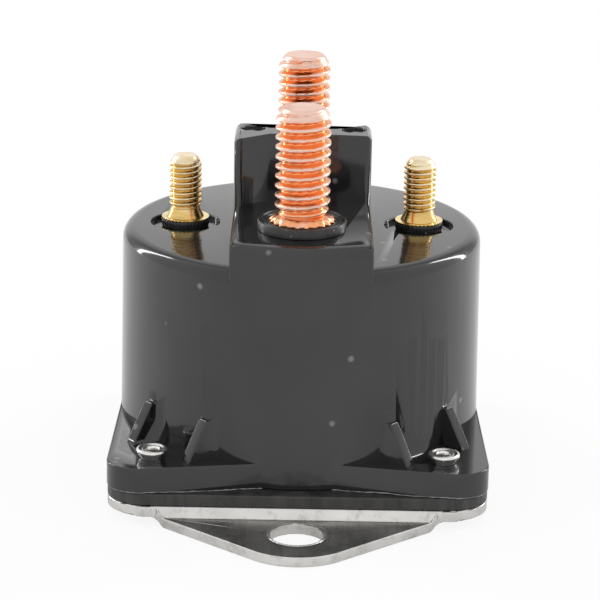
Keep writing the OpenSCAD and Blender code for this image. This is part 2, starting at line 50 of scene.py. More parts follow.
# Camera: a long lens that looks down on the relay by seventeen degrees and leans a little, as the photograph
# was taken. It stands where the studs, the body's rim and the ear hole fall in their places in the picture.
camera_place = Vector((-0.1, -375.6, 143.5)) * MM
look_down = math.radians(17.5)
camera_lean = math.radians(1.0)
camera_data = bpy.data.cameras.new("view")
camera_data.lens = 156
camera_data.sensor_width = 36
camera_data.clip_start = 0.01
camera = bpy.data.objects.new("view", camera_data)
bpy.context.collection.objects.link(camera)
camera_tilt = Matrix.Rotation(math.pi / 2 - look_down, 4, "X") @ Matrix.Rotation(camera_lean, 4, "Z")
camera.matrix_world = Matrix.Translation(camera_place) @ camera_tilt
bpy.context.scene.camera = camera
bpy.context.scene.view_settings.view_transform = "Standard"

# Studio: a white sweep under an even white dome. The dome dims in two soft bands behind the relay and carries
# two brighter ones beside it, which draw the upright streaks down both sides of the glossy body.
world = bpy.data.worlds.new("dome")
bpy.context.scene.world = world
world.use_nodes = True
tree = world.node_tree
sky = tree.nodes["Background"]
direction = tree.nodes.new("ShaderNodeTexCoord")
split = tree.nodes.new("ShaderNodeSeparateXYZ")
tree.links.new(direction.outputs["Generated"], split.inputs[0])
around = tree.nodes.new("ShaderNodeMath")
around.operation = "ARCTAN2"
side = tree.nodes.new("ShaderNodeMath")
side.operation = "ABSOLUTE"
tree.links.new(split.outputs["X"], side.inputs[0])
tree.links.new(side.outputs[0], around.inputs[0])
tree.links.new(split.outputs["Y"], around.inputs[1])
bands = tree.nodes.new("ShaderNodeValToRGB")
share = tree.nodes.new("ShaderNodeMath")
share.operation = "DIVIDE"
share.inputs[1].default_value = math.pi
tree.links.new(around.outputs[0], share.inputs[0])
tree.links.new(share.outputs[0], bands.inputs[0])
stops = bands.color_ramp.elements
stops[0].position = 0.0
stops[0].color = (1.0, 1.0, 1.0, 1)
stops[1].position = 1.0
stops[1].color = (0.95, 0.95, 0.95, 1)
dome_tones = ((0.13, 0.95), (0.19, 0.55), (0.24, 0.6), (0.29, 1.0), (0.36, 1.0), (0.5, 0.9))
for place, tone in dome_tones:
    stop = stops.new(place)
    stop.color = (tone, tone, tone, 1)
rays = tree.nodes.new("ShaderNodeLightPath")
backdrop = tree.nodes.new("ShaderNodeMix")
backdrop.data_type = "RGBA"
backdrop.inputs["B"].default_value = (1, 1, 1, 1)
tree.links.new(rays.outputs["Is Camera Ray"], backdrop.inputs["Factor"])
tree.links.new(bands.outputs[0], backdrop.inputs["A"])
tree.links.new(backdrop.outputs["Result"], sky.inputs["Color"])

sweep_mesh = bpy.data.meshes.new("sweep")
sweep_half = 1.5
sweep_mesh.from_pydata([(-sweep_half, -sweep_half, 0), (sweep_half, -sweep_half, 0),
                        (sweep_half, sweep_half, 0), (-sweep_half, sweep_half, 0)], [], [(0, 1, 2, 3)])
sweep = bpy.data.objects.new("sweep", sweep_mesh)
bpy.context.collection.objects.link(sweep)
sweep_paper = bpy.data.materials.new("sweep paper")
sweep_paper.use_nodes = True
tree = sweep_paper.node_tree
paper = tree.nodes["Principled BSDF"]
paper.inputs["Base Color"].default_value = (0.9, 0.9, 0.9, 1)
paper.inputs["Roughness"].default_value = 0.9
rays = tree.nodes.new("ShaderNodeLightPath")
lit_share = tree.nodes.new("ShaderNodeMath")
lit_share.operation = "MULTIPLY"
lit_share.inputs[1].default_value = 0.88
white = tree.nodes.new("ShaderNodeEmission")
mixed = tree.nodes.new("ShaderNodeMixShader")
tree.links.new(rays.outputs["Is Camera Ray"], lit_share.inputs[0])
tree.links.new(lit_share.outputs[0], mixed.inputs[0])
tree.links.new(paper.outputs[0], mixed.inputs[1])
tree.links.new(white.outputs[0], mixed.inputs[2])
tree.links.new(mixed.outputs[0], tree.nodes["Material Output"].inputs["Surface"])
sweep_mesh.materials.append(sweep_paper)


relay_middle = Vector((0, 0, 30 * MM))


def softbox(name, degrees, reach, width, height, power):
    """A tall soft box beside the relay, at so many degrees round from the camera."""
    lamp = bpy.data.lights.new(name, "AREA")
    lamp.shape = "RECTANGLE"
    lamp.size = width
    lamp.size_y = height
    lamp.energy = power
    box = bpy.data.objects.new(name, lamp)
    bpy.context.collection.objects.link(box)
    turn = math.radians(degrees)
    box.location = (reach * math.sin(turn), -reach * math.cos(turn), height / 2)
    box.rotation_euler = (relay_middle - box.location).to_track_quat("-Z", "Y").to_euler()


for word, degrees in (("left", -122), ("right", 122)):
    softbox(word + " strip", degrees, reach=0.7, width=0.07, height=0.6, power=1.6)


# Housing: one moulding in glossy black phenolic, with a raised block between two lower shelves and a barrier
# wall across it. The mould rounds every edge a little and leaves a faint ripple and stray pale flecks.
def group(name, sockets_in, sockets_out):
    """An empty node group with named sockets, and its input and output nodes."""
    made = bpy.data.node_groups.new(name, "ShaderNodeTree")
    for label, kind, value in sockets_in:
        socket = made.interface.new_socket(label, in_out="INPUT", socket_type=kind)
        if value is not None:
            socket.default_value = value
    for label, kind in sockets_out:
        made.interface.new_socket(label, in_out="OUTPUT", socket_type=kind)
    return made, made.nodes.new("NodeGroupInput"), made.nodes.new("NodeGroupOutput")


def wire(tree, start, end):
    """Join two sockets, each given as a node and a socket's name or number."""
    tree.links.new(start[0].outputs[start[1]], end[0].inputs[end[1]])


def math_node(tree, operation, first=None, second=None):
    """A Math node whose inputs are numbers or (node, socket) pairs."""
    node = tree.nodes.new("ShaderNodeMath")
    node.operation = operation
    for number, value in enumerate((first, second)):
        if isinstance(value, tuple):
            wire(tree, value, (node, number))
        elif value is not None:
            node.inputs[number].default_value = value
    return node


# Ripple: slow and fine waves of a surface, as a height and as a soft tone from 0 to 1.
ripple, given, gives = group(
    "ripple",
    [("Scale", "NodeSocketFloat", 400.0), ("Detail", "NodeSocketFloat", 3.0),
     ("Stretch", "NodeSocketVector", (1, 1, 1))],
    [("Height", "NodeSocketFloat"), ("Tone", "NodeSocketFloat")])
place = ripple.nodes.new("ShaderNodeTexCoord")
stretched = ripple.nodes.new("ShaderNodeVectorMath")
stretched.operation = "MULTIPLY"
wire(ripple, (place, "Object"), (stretched, 0))
wire(ripple, (given, "Stretch"), (stretched, 1))
waves = ripple.nodes.new("ShaderNodeTexNoise")
wire(ripple, (stretched, 0), (waves, "Vector"))
wire(ripple, (given, "Scale"), (waves, "Scale"))
wire(ripple, (given, "Detail"), (waves, "Detail"))
wire(ripple, (waves, 0), (gives, "Height"))
soft = ripple.nodes.new("ShaderNodeMapRange")
soft.inputs["From Min"].default_value = 0.3
soft.inputs["From Max"].default_value = 0.7
wire(ripple, (waves, 0), (soft, 0))
wire(ripple, (soft, 0), (gives, "Tone"))

# Flecks: small separate spots of dust or spatter, as a mask.
flecks, given, gives = group(
    "flecks",
    [("Scale", "NodeSocketFloat", 900.0), ("Cover", "NodeSocketFloat", 0.1)],
    [("Mask", "NodeSocketFloat")])
place = flecks.nodes.new("ShaderNodeTexCoord")
cells = flecks.nodes.new("ShaderNodeTexVoronoi")
wire(flecks, (place, "Object"), (cells, "Vector"))
wire(flecks, (given, "Scale"), (cells, "Scale"))
chosen = flecks.nodes.new("ShaderNodeSeparateColor")
wire(flecks, (cells, "Color"), (chosen, 0))
picked = math_node(flecks, "LESS_THAN", (chosen, "Red"), (given, "Cover"))
near = flecks.nodes.new("ShaderNodeMapRange")
near.inputs["From Min"].default_value = 0.25
near.inputs["From Max"].default_value = 0.12
wire(flecks, (cells, "Distance"), (near, 0))
spot = math_node(flecks, "MULTIPLY", (picked, 0), (near, 0))
wire(flecks, (spot, 0), (gives, "Mask"))

# Scratches: long thin lines that run one way and break off, as a mask.
scratches, given, gives = group(
    "scratches",
    [("Scale", "NodeSocketFloat", 300.0), ("Stretch", "NodeSocketVector", (1, 12, 1)),
     ("Cover", "NodeSocketFloat", 0.5)],
    [("Mask", "NodeSocketFloat")])
place = scratches.nodes.new("ShaderNodeTexCoord")
stretched = scratches.nodes.new("ShaderNodeVectorMath")
stretched.operation = "DIVIDE"
wire(scratches, (place, "Object"), (stretched, 0))
wire(scratches, (given, "Stretch"), (stretched, 1))
streaks = scratches.nodes.new("ShaderNodeTexNoise")
streaks.inputs["Detail"].default_value = 6
streaks.inputs["Roughness"].default_value = 0.7
wire(scratches, (stretched, 0), (streaks, "Vector"))
wire(scratches, (given, "Scale"), (streaks, "Scale"))
line = scratches.nodes.new("ShaderNodeMapRange")
line.inputs["From Max"].default_value = 0.72
wire(scratches, (given, "Cover"), (line, "From Min"))
wire(scratches, (streaks, 0), (line, 0))
wire(scratches, (line, 0), (gives, "Mask"))


def finish_of(name, roughness, metallic=0.0):
    """A new material, its tree and its Principled shader, with the even values set on the shader."""
    made = bpy.data.materials.new(name)
    made.use_nodes = True
    shader = made.node_tree.nodes["Principled BSDF"]
    shader.inputs["Roughness"].default_value = roughness
    shader.inputs["Metallic"].default_value = metallic
    return made, made.node_tree, shader


def placed(tree, made, **values):
    """A node group placed in a material with its own values."""
    node = tree.nodes.new("ShaderNodeGroup")
    node.node_tree = made
    for label, value in values.items():
        node.inputs[label].default_value = value
    return node


def ramp(tree, source, dark, light, low=0.0, high=1.0):
    """A colour that goes from dark to light as the source goes from low to high."""
    node = tree.nodes.new("ShaderNodeValToRGB")
    node.color_ramp.elements[0].position = low
    node.color_ramp.elements[0].color = (*dark, 1)
    node.color_ramp.elements[1].position = high
    node.color_ramp.elements[1].color = (*light, 1)
    wire(tree, source, (node, 0))
    return node


def level(tree, source, low, high):
    """A number that goes from low to high as the source goes from 0 to 1."""
    node = tree.nodes.new("ShaderNodeMapRange")
    node.inputs["To Min"].default_value = low
    node.inputs["To Max"].default_value = high
    wire(tree, source, (node, 0))
    return node


def relief(tree, shader, source, distance, strength=1.0, under=None):
    """A bump of so many metres on the shader's normal, over another bump if one is given."""
    node = tree.nodes.new("ShaderNodeBump")
    node.inputs["Distance"].default_value = distance
    node.inputs["Strength"].default_value = strength
    wire(tree, source, (node, "Height"))
    if under:
        wire(tree, (under, 0), (node, "Normal"))
    wire(tree, (node, 0), (shader, "Normal"))
    return node


phenolic, tree, shader = finish_of("black phenolic", 0.1)
shader.inputs["IOR"].default_value = 1.62
slow = placed(tree, ripple, Scale=90.0, Detail=2.0)
fine = placed(tree, ripple, Scale=1400.0, Detail=2.0)
dust = placed(tree, flecks, Scale=420.0, Cover=0.05)
tone = ramp(tree, (slow, "Tone"), (0.010, 0.010, 0.011), (0.017, 0.017, 0.018))
dusted = tree.nodes.new("ShaderNodeMix")
dusted.data_type = "RGBA"
dusted.inputs["B"].default_value = (0.16, 0.15, 0.14, 1)
wire(tree, (dust, "Mask"), (dusted, "Factor"))
wire(tree, (tone, 0), (dusted, "A"))
wire(tree, (dusted, "Result"), (shader, "Base Color"))
wire(tree, (level(tree, (fine, "Tone"), 0.07, 0.13), 0), (shader, "Roughness"))
relief(tree, shader, (slow, "Height"), 0.00005, 0.5)


def dress(node, finish):
    """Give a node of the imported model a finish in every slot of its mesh."""
    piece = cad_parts[node]
    for material_slot in piece.material_slots:
        material_slot.material = finish
    if not piece.material_slots:
        piece.data.materials.append(finish)


def keep(bm, name, finish, body, node=None, smooth_degrees=35):
    """Turn a bmesh into a piece that rides on a body and, where a node is named, stands for it."""
    mesh = bpy.data.meshes.new(name)
    bmesh.ops.recalc_face_normals(bm, faces=bm.faces)
    bm.to_mesh(mesh)
    bm.free()
    mesh.shade_smooth()
    mesh.set_sharp_from_angle(angle=math.radians(smooth_degrees))
    piece = bpy.data.objects.new(name, mesh)
    bpy.context.collection.objects.link(piece)
    mesh.materials.append(finish)
    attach(piece, body)
    if node:
        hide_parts(node)
    return piece


# The moulding's mesh is the model's own, welded and cleared of flat seams. Its outer edges are rolled over by
# a quarter of a millimetre, as the mould leaves them, and its inner corners stay sharp.
weld_gap = 0.002 * MM
flat_seam = math.radians(0.6)
rolled_from = math.radians(32)
rolled_width = 0.25 * MM
bm = bmesh.new()
bm.from_mesh(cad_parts["housing"].data)
bmesh.ops.remove_doubles(bm, verts=bm.verts, dist=weld_gap)
bmesh.ops.dissolve_limit(bm, angle_limit=flat_seam, verts=bm.verts, edges=bm.edges)
bmesh.ops.recalc_face_normals(bm, faces=bm.faces)
outer_edge = bm.edges.layers.float.new("bevel_weight_edge")
for edge in bm.edges:
    if edge.is_convex and edge.calc_face_angle(0) > rolled_from:
        edge[outer_edge] = 1
moulding = keep(bm, "housing_moulding", phenolic, "base", "housing", 30)
rolled = moulding.modifiers.new("rolled edges", "BEVEL")
rolled.width = rolled_width
rolled.segments = 3
rolled.limit_method = "WEIGHT"
rolled.use_clamp_overlap = False
rolled.miter_outer = "MITER_ARC"
rolled.harden_normals = True


# Mounting plate: one sheet of zinc plated steel, blanked with two ears that are joggled down to the panel.
# Its sheared edges stay bright, the faces carry drawn scratches, and each punched hole keeps a worn ring.
plate_t = 1.5 * MM
plate_half_w = 27.55 * MM
plate_half_l = 29.35 * MM
plate_corner = 5.5 * MM
root_fillet = 2.2 * MM
ear_tip_y = 34.3 * MM
ear_tip_r = 9.4 * MM
ear_side_degrees = 49.5
hole_y = 35.6 * MM
hole_r = 3.85 * MM
joggle_start = 28.95 * MM
joggle_end = 30.35 * MM
bend_steps = 10
worn_ring_r = 4.75 * MM
worn_ring_out = 0.16 * MM
worn_ring_in = 0.04 * MM
ring_wander = 0.10 * MM


def arc(x, y, radius, start, end, steps):
    """Points of an arc about (x, y), from one angle to another in degrees."""
    turns = [math.radians(start + (end - start) * i / steps) for i in range(steps + 1)]
    return [(x + radius * math.cos(turn), y + radius * math.sin(turn)) for turn in turns]


def four_ways(quarter):
    """A closed outline from its quarter between +X and +Y, whose points run from the side to the end."""
    right = quarter + [(-x, y) for x, y in reversed(quarter)]
    loop = right + [(-x, -y) for x, y in right]
    same_point = 0.0001 * MM
    return [p for i, p in enumerate(loop) if math.dist(p, loop[i - 1]) > same_point]


def flat_face(bm, loops):
    """A flat filled face from an outline and its holes, each a closed loop of (x, y) points."""
    edges = []
    for loop in loops:
        verts = [bm.verts.new((x, y, 0)) for x, y in loop]
        edges += [bm.edges.new((verts[i], verts[i - 1])) for i in range(len(verts))]
    bmesh.ops.triangle_fill(bm, edges=edges, use_beauty=True)


def cut_rows(bm, rows):
    """Cut a flat face along lines of the given Y, so that it can bend there."""
    for row in rows:
        everything = bm.verts[:] + bm.edges[:] + bm.faces[:]
        bmesh.ops.bisect_plane(bm, geom=everything, plane_co=(0, row, 0), plane_no=(0, 1, 0))


def thicken(bm, thickness):
    """Give a flat face a thickness downwards."""
    made = bmesh.ops.extrude_face_region(bm, geom=bm.faces[:])
    lower = [v for v in made["geom"] if isinstance(v, bmesh.types.BMVert)]
    for v in lower:
        v.co.z -= thickness


def soften(piece, width, segments=2, degrees=40):
    """Round a piece's sharp edges."""
    made = piece.modifiers.new("soft edges", "BEVEL")
    made.width = width
    made.segments = segments
    made.limit_method = "ANGLE"
    made.angle_limit = math.radians(degrees)
    made.use_clamp_overlap = False
    made.harden_normals = True


lean = math.radians(ear_side_degrees)
touch = (ear_tip_r * math.cos(lean), ear_tip_y + ear_tip_r * math.sin(lean))
root_x = touch[0] + (touch[1] - plate_half_l) * math.tan(lean)
setback = root_fillet * math.tan(math.radians((90 - ear_side_degrees) / 2))
fillet_x = root_x + setback
quarter = [(plate_half_w, 0)]
quarter += arc(plate_half_w - plate_corner, plate_half_l - plate_corner, plate_corner, 0, 90, 12)
quarter += arc(fillet_x, plate_half_l + root_fillet, root_fillet, 270, 180 + ear_side_degrees, 6)
quarter += arc(0, ear_tip_y, ear_tip_r, ear_side_degrees, 90, 18)
bm = bmesh.new()
holes = [arc(0, side * hole_y, hole_r, 0, 360 * 63 / 64, 63) for side in (-1, 1)]
flat_face(bm, [four_ways(quarter)] + holes)
bend_rows = [joggle_start + (joggle_end - joggle_start) * i / bend_steps for i in range(bend_steps + 1)]
cut_rows(bm, [side * row for side in (-1, 1) for row in bend_rows])
thicken(bm, plate_t)
for v in bm.verts:
    share = min(1, max(0, (abs(v.co.y) - joggle_start) / (joggle_end - joggle_start)))
    v.co.z += 2 * plate_t - plate_t * (3 * share ** 2 - 2 * share ** 3)

zinc, tree, shader = finish_of("zinc plated steel", 0.28, 1.0)
drawn = placed(tree, scratches, Scale=520.0, Stretch=(1, 14, 1), Cover=0.52)
cross = placed(tree, scratches, Scale=300.0, Stretch=(9, 1, 1), Cover=0.6)
cloud = placed(tree, ripple, Scale=160.0, Detail=4.0)
dull = ramp(tree, (cloud, "Tone"), (0.62, 0.61, 0.59), (0.80, 0.79, 0.77))
where = tree.nodes.new("ShaderNodeTexCoord")
axes = tree.nodes.new("ShaderNodeSeparateXYZ")
wire(tree, (where, "Object"), (axes, 0))
end_y = math_node(tree, "ABSOLUTE", (axes, "Y"))
from_hole = math_node(tree, "SUBTRACT", (end_y, 0), hole_y)
square_y = math_node(tree, "MULTIPLY", (from_hole, 0), (from_hole, 0))
square_x = math_node(tree, "MULTIPLY", (axes, "X"), (axes, "X"))
reach = math_node(tree, "SQRT", (math_node(tree, "ADD", (square_x, 0), (square_y, 0)), 0))
wobble = level(tree, (placed(tree, ripple, Scale=260.0, Detail=2.0), "Tone"), -ring_wander, ring_wander)
ring_at = math_node(tree, "ADD", (reach, 0), (wobble, 0))
off_ring = math_node(tree, "ABSOLUTE", (math_node(tree, "SUBTRACT", (ring_at, 0), worn_ring_r), 0))
ring = tree.nodes.new("ShaderNodeMapRange")
ring.inputs["From Min"].default_value = worn_ring_out
ring.inputs["From Max"].default_value = worn_ring_in
wire(tree, (off_ring, 0), (ring, 0))
marks = math_node(tree, "MAXIMUM", (ring, 0), (drawn, "Mask"))
marks = math_node(tree, "MAXIMUM", (marks, 0), (cross, "Mask"))
scored = tree.nodes.new("ShaderNodeMix")
scored.data_type = "RGBA"
scored.inputs["B"].default_value = (0.30, 0.28, 0.26, 1)
wire(tree, (math_node(tree, "MULTIPLY", (marks, 0), 0.6), 0), (scored, "Factor"))
wire(tree, (dull, 0), (scored, "A"))
wire(tree, (scored, "Result"), (shader, "Base Color"))
wire(tree, (level(tree, (cloud, "Tone"), 0.22, 0.36), 0), (shader, "Roughness"))
scored_deep = math_node(tree, "SUBTRACT", 1.0, (marks, 0))
relief(tree, shader, (scored_deep, 0), 0.00003, 0.6)

plate = keep(bm, "mounting_plate_sheet", zinc, "base", "mounting_plate", 40)
soften(plate, 0.18 * MM)

# Hole burrs: the punch leaves a thin raised lip of the same sheet round each ear hole. The lip is ragged by a
# few hundredths of a millimetre and shows as a bright line.
def lathe(bm, centre, profile, around, wave=None):
    """Turn a closed profile of (radius, height) points about an upright axis, plus wave(turn, row)."""
    rings = []
    for row, (radius, height) in enumerate(profile):
        ring = []
        for i in range(around):
            turn = math.tau * i / around
            out = radius + (wave(turn, row) if wave else 0)
            x = centre[0] + out * math.cos(turn)
            y = centre[1] + out * math.sin(turn)
            ring.append(bm.verts.new((x, y, height)))
        rings.append(ring)
    for low, high in zip(rings, rings[1:] + rings[:1]):
        for i in range(around):
            j = (i + 1) % around
            bm.faces.new((low[i], low[j], high[j], high[i]))


random.seed(11)
burr_points = 96
burr_rag_mm = 0.05
burr_profile = [(hole_r, 1.40 * MM), (hole_r - 0.03 * MM, 1.52 * MM), (hole_r + 0.08 * MM, 1.60 * MM),
                (hole_r + 0.22 * MM, 1.56 * MM), (hole_r + 0.34 * MM, 1.40 * MM)]
bm = bmesh.new()
for side in (-1, 1):
    notches = [random.uniform(-burr_rag_mm, burr_rag_mm) * MM for i in range(burr_points)]
    lathe(bm, (0, side * hole_y), burr_profile, burr_points,
          lambda turn, row: notches[round(turn / math.tau * burr_points) % burr_points] * (row > 1))
burrs = keep(bm, "ear_hole_burrs", zinc, "base", None, 60)

# Gasket: a die-cut frame of black rubber between plate and flange. Its cut edge is drawn upwards in fine
# streaks, and a thin ragged lip of squeezed rubber follows the seam under the flange. The lip's light grey
# colour is a painted highlight along the seam.
gasket_t = 1.8 * MM
gasket_top = 4.8 * MM
cavity_r = 24.4 * MM
flange_half_w = 27.6 * MM
flange_half_l = 29.4 * MM
flange_corner = 4.6 * MM
flange_waist = 2.9 * MM
flange_mid = 4.7 * MM
rubber, tree, shader = finish_of("black rubber", 0.42)
grain = placed(tree, ripple, Scale=700.0, Detail=5.0, Stretch=(1, 1, 0.16))
pits = placed(tree, flecks, Scale=900.0, Cover=0.2)
tone = ramp(tree, (grain, "Tone"), (0.012, 0.012, 0.012), (0.05, 0.048, 0.046))
wire(tree, (tone, 0), (shader, "Base Color"))
wire(tree, (level(tree, (grain, "Tone"), 0.28, 0.55), 0), (shader, "Roughness"))
pit_depth = math_node(tree, "MULTIPLY", (pits, "Mask"), 0.4)
uneven = math_node(tree, "SUBTRACT", (grain, "Height"), (pit_depth, 0))
relief(tree, shader, (uneven, 0), 0.00025, 0.7)
bm = bmesh.new()
quarter = [(plate_half_w, 0)]
quarter += arc(plate_half_w - plate_corner, plate_half_l - plate_corner, plate_corner, 0, 90, 12)
flat_face(bm, [four_ways(quarter), arc(0, 0, cavity_r, 0, 360 * 127 / 128, 127)])
thicken(bm, gasket_t)
for v in bm.verts:
    v.co.z += gasket_top
gasket = keep(bm, "gasket_frame", rubber, "base", "gasket", 40)
soften(gasket, 0.25 * MM, 3)

# Painted highlight: the black rubber lip is coloured light grey, from 0.10 to 0.42, so that it shows as a
# bright line of light along the seam. The spread within that range is random grain.
lip, tree, shader = finish_of("squeezed rubber lip with painted highlight", 0.3)
grain = placed(tree, ripple, Scale=1100.0, Detail=3.0)
wire(tree, (ramp(tree, (grain, "Tone"), (0.10, 0.10, 0.10), (0.42, 0.42, 0.41)), 0), (shader, "Base Color"))
relief(tree, shader, (grain, "Height"), 0.0001, 0.6)
lip_inset = 0.1 * MM
side_waist = 0.4 * MM
lip_step = 0.5 * MM
lip_above_seam = 0.12 * MM
lip_drift_mm = 0.05
lip_drift_kept = 0.8
lip_thin_mm = 0.05
lip_thick_mm = 0.11
lip_sunk = 0.02 * MM
half = [(flange_half_w - side_waist, 0)]
corner_x = flange_half_w - lip_inset - flange_corner
half += arc(corner_x, flange_half_l - flange_corner, flange_corner, 0, 90, 10)
half += [(flange_mid, flange_half_l - flange_waist)]
edge_line = four_ways(half)
random.seed(5)
route = []
for i, (x, y) in enumerate(edge_line):
    next_x, next_y = edge_line[(i + 1) % len(edge_line)]
    pieces = max(1, int(math.dist((x, y), (next_x, next_y)) / lip_step))
    for k in range(pieces):
        route.append((x + (next_x - x) * k / pieces, y + (next_y - y) * k / pieces))
bm = bmesh.new()
sides = 5
rings = []
drift = 0
for i, (x, y) in enumerate(route):
    before = route[i - 1]
    after = route[(i + 1) % len(route)]
    along = Vector((after[0] - before[0], after[1] - before[1])).normalized()
    outward = Vector((along.y, -along.x))
    if outward.dot(Vector((x, y))) < 0:
        outward = -outward
    drift = lip_drift_kept * drift + random.uniform(-lip_drift_mm, lip_drift_mm) * MM
    thick = random.uniform(lip_thin_mm, lip_thick_mm) * MM
    height = gasket_top + lip_above_seam + drift
    ring = []
    for k in range(sides):
        turn = math.tau * k / sides
        out = thick * math.cos(turn) - lip_sunk
        up = height + thick * math.sin(turn)
        ring.append(bm.verts.new((x + outward.x * out, y + outward.y * out, up)))
    rings.append(ring)
for i, ring in enumerate(rings):
    after = rings[(i + 1) % len(rings)]
    for k in range(sides):
        bm.faces.new((ring[k], ring[(k + 1) % sides], after[(k + 1) % sides], after[k]))
seam = keep(bm, "seam_lip", lip, "base", None, 180)

# Rivets: four tinned tubular rivets. Each has a flat head under the plate, and its open end is flared and
# rolled over the flange into a double ring.
rivet_places = [(sx * 21.1 * MM, sy * 24.4 * MM) for sx in (-1, 1) for sy in (-1, 1)]
rivet_profile = [(0.95, 0.80), (2.70, 0.80), (2.70, 1.40), (1.60, 1.50), (1.60, 8.60), (1.80, 8.64),
                 (1.95, 9.05), (2.18, 9.45), (2.25, 9.72), (2.20, 9.94), (2.04, 10.06), (1.84, 10.08),
                 (1.66, 9.98), (1.52, 9.86), (1.38, 9.88), (1.22, 9.94), (1.06, 9.86), (0.97, 9.60),
                 (0.95, 9.20)]
mouth_first_row = 7
mouth_oval = 0.035 * MM
tin, tree, shader = finish_of("tinned rivet", 0.2, 1.0)
cloud = placed(tree, ripple, Scale=900.0, Detail=4.0)
wire(tree, (ramp(tree, (cloud, "Tone"), (0.70, 0.69, 0.67), (0.92, 0.91, 0.89)), 0), (shader, "Base Color"))
wire(tree, (level(tree, (cloud, "Tone"), 0.14, 0.32), 0), (shader, "Roughness"))
relief(tree, shader, (cloud, "Height"), 0.00008, 0.5)
bm = bmesh.new()
random.seed(3)
for place in rivet_places:
    start = random.uniform(0, 6)
    lathe(bm, place, [(r * MM, z * MM) for r, z in rivet_profile], 48,
          lambda turn, row: mouth_oval * math.sin(2 * turn + start) * (row >= mouth_first_row))
rivets = keep(bm, "tubular_rivets", tin, "base", "rivets", 50)

# Contact studs: two copper studs, threaded down to a serrated skirt that is swaged over the washer, with the
# wide contact head inside. Worn crests and blunt tips have gone pale and pinkish, roots stay bright orange.
stud_r = 3.97 * MM
stud_pitch = 1.411 * MM
stud_thread_depth = 0.80 * MM
stud_rows_a_pitch = 14
skirt_teeth = 22
root_flat = 0.12
flank_share = 0.66
flank_bulge = 0.9
runout_pitches = 0.8
runout_least = 0.35


def threaded_rod(bm, centre, foot, z_low, z_high, radius, pitch, depth, tip_r, chamfer, around, phase):
    """A turned foot, then a true right-hand thread that runs out below and fades into a blunt tip above.

    foot is a list of (radius, height, serration) rings. The wear of each point, from 0 in a root to 1 on a
    crest or the tip, is kept with the mesh."""
    worn = bm.verts.layers.float.new("wear")
    count = int((z_high - z_low) / pitch * stud_rows_a_pitch)
    rows = [(z, r, s) for r, z, s in foot]
    rows += [(z_low + (z_high - z_low) * i / count, None, 0) for i in range(count + 1)]
    rings = []
    for z, fixed, serration in rows:
        ring = []
        for i in range(around):
            turn = math.tau * i / around
            if fixed is not None:
                out = fixed + serration * math.cos(skirt_teeth * turn)
                wear = 0.35
            else:
                t = ((z - z_low) / pitch - turn / math.tau + phase) % 1
                ridge = 1 - abs(2 * t - 1)
                ridge = min(1, max(0, (ridge - root_flat) / flank_share)) ** flank_bulge
                runout = min(1, max(0, (z - z_low) / (runout_pitches * pitch)))
                out = radius - depth + depth * ridge * (runout_least + (1 - runout_least) * runout)
                cone = tip_r + (radius - tip_r) * min(1, ((z_high - z) / chamfer)) ** 0.75
                wear = ridge ** 2 * (0.6 + 0.4 * runout)
                if out > cone:
                    out = cone
                    wear = 1
                if z_high - z < chamfer:
                    wear = max(wear, 1 - (z_high - z) / chamfer * 0.4)
            x = centre[0] + out * math.cos(turn)
            y = centre[1] + out * math.sin(turn)
            v = bm.verts.new((x, y, z))
            v[worn] = wear
            ring.append(v)
        rings.append(ring)
    for low, high in zip(rings, rings[1:]):
        for i in range(around):
            j = (i + 1) % around
            bm.faces.new((low[i], low[j], high[j], high[i]))
    bm.faces.new(list(reversed(rings[0])))
    inner = rings[-1]
    for share, drop in ((0.93, 0.021 * MM), (0.6, 0.006 * MM), (0.25, 0)):
        ring = []
        for i in range(around):
            turn = math.tau * i / around
            x = centre[0] + tip_r * share * math.cos(turn)
            y = centre[1] + tip_r * share * math.sin(turn)
            v = bm.verts.new((x, y, z_high - drop))
            v[worn] = 1
            ring.append(v)
        for i in range(around):
            j = (i + 1) % around
            bm.faces.new((inner[i], inner[j], ring[j], ring[i]))
        inner = ring
    bm.faces.new(inner)


def worn_metal(name, root, crest, roughness, tip_roughness):
    """A bright metal whose crests and tip are worn to another tone."""
    made, tree, shader = finish_of(name, roughness, 1.0)
    wear = tree.nodes.new("ShaderNodeAttribute")
    wear.attribute_name = "wear"
    cloud = placed(tree, ripple, Scale=600.0, Detail=5.0)
    turned = placed(tree, scratches, Scale=900.0, Stretch=(6, 6, 1), Cover=0.5)
    uneven = math_node(tree, "MULTIPLY_ADD", (cloud, "Tone"), 0.7)
    uneven.inputs[2].default_value = -0.35
    shown = math_node(tree, "ADD", (wear, "Fac"), (uneven, 0))
    tone = ramp(tree, (shown, 0), root, crest, 0.35, 0.95)
    stain = tree.nodes.new("ShaderNodeMix")
    stain.data_type = "RGBA"
    stain.inputs["B"].default_value = (root[0] * 0.45, root[1] * 0.4, root[2] * 0.4, 1)
    wire(tree, (math_node(tree, "MULTIPLY", (turned, "Mask"), 0.45), 0), (stain, "Factor"))
    wire(tree, (tone, 0), (stain, "A"))
    wire(tree, (stain, "Result"), (shader, "Base Color"))
    rough = tree.nodes.new("ShaderNodeMapRange")
    rough.inputs["To Min"].default_value = roughness
    rough.inputs["To Max"].default_value = tip_roughness
    wire(tree, (shown, 0), (rough, 0))
    wire(tree, (rough, 0), (shader, "Roughness"))
    first = relief(tree, shader, (cloud, "Height"), 0.0001, 0.5)
    relief(tree, shader, (turned, "Mask"), 0.00004, 0.5, first)
    return made


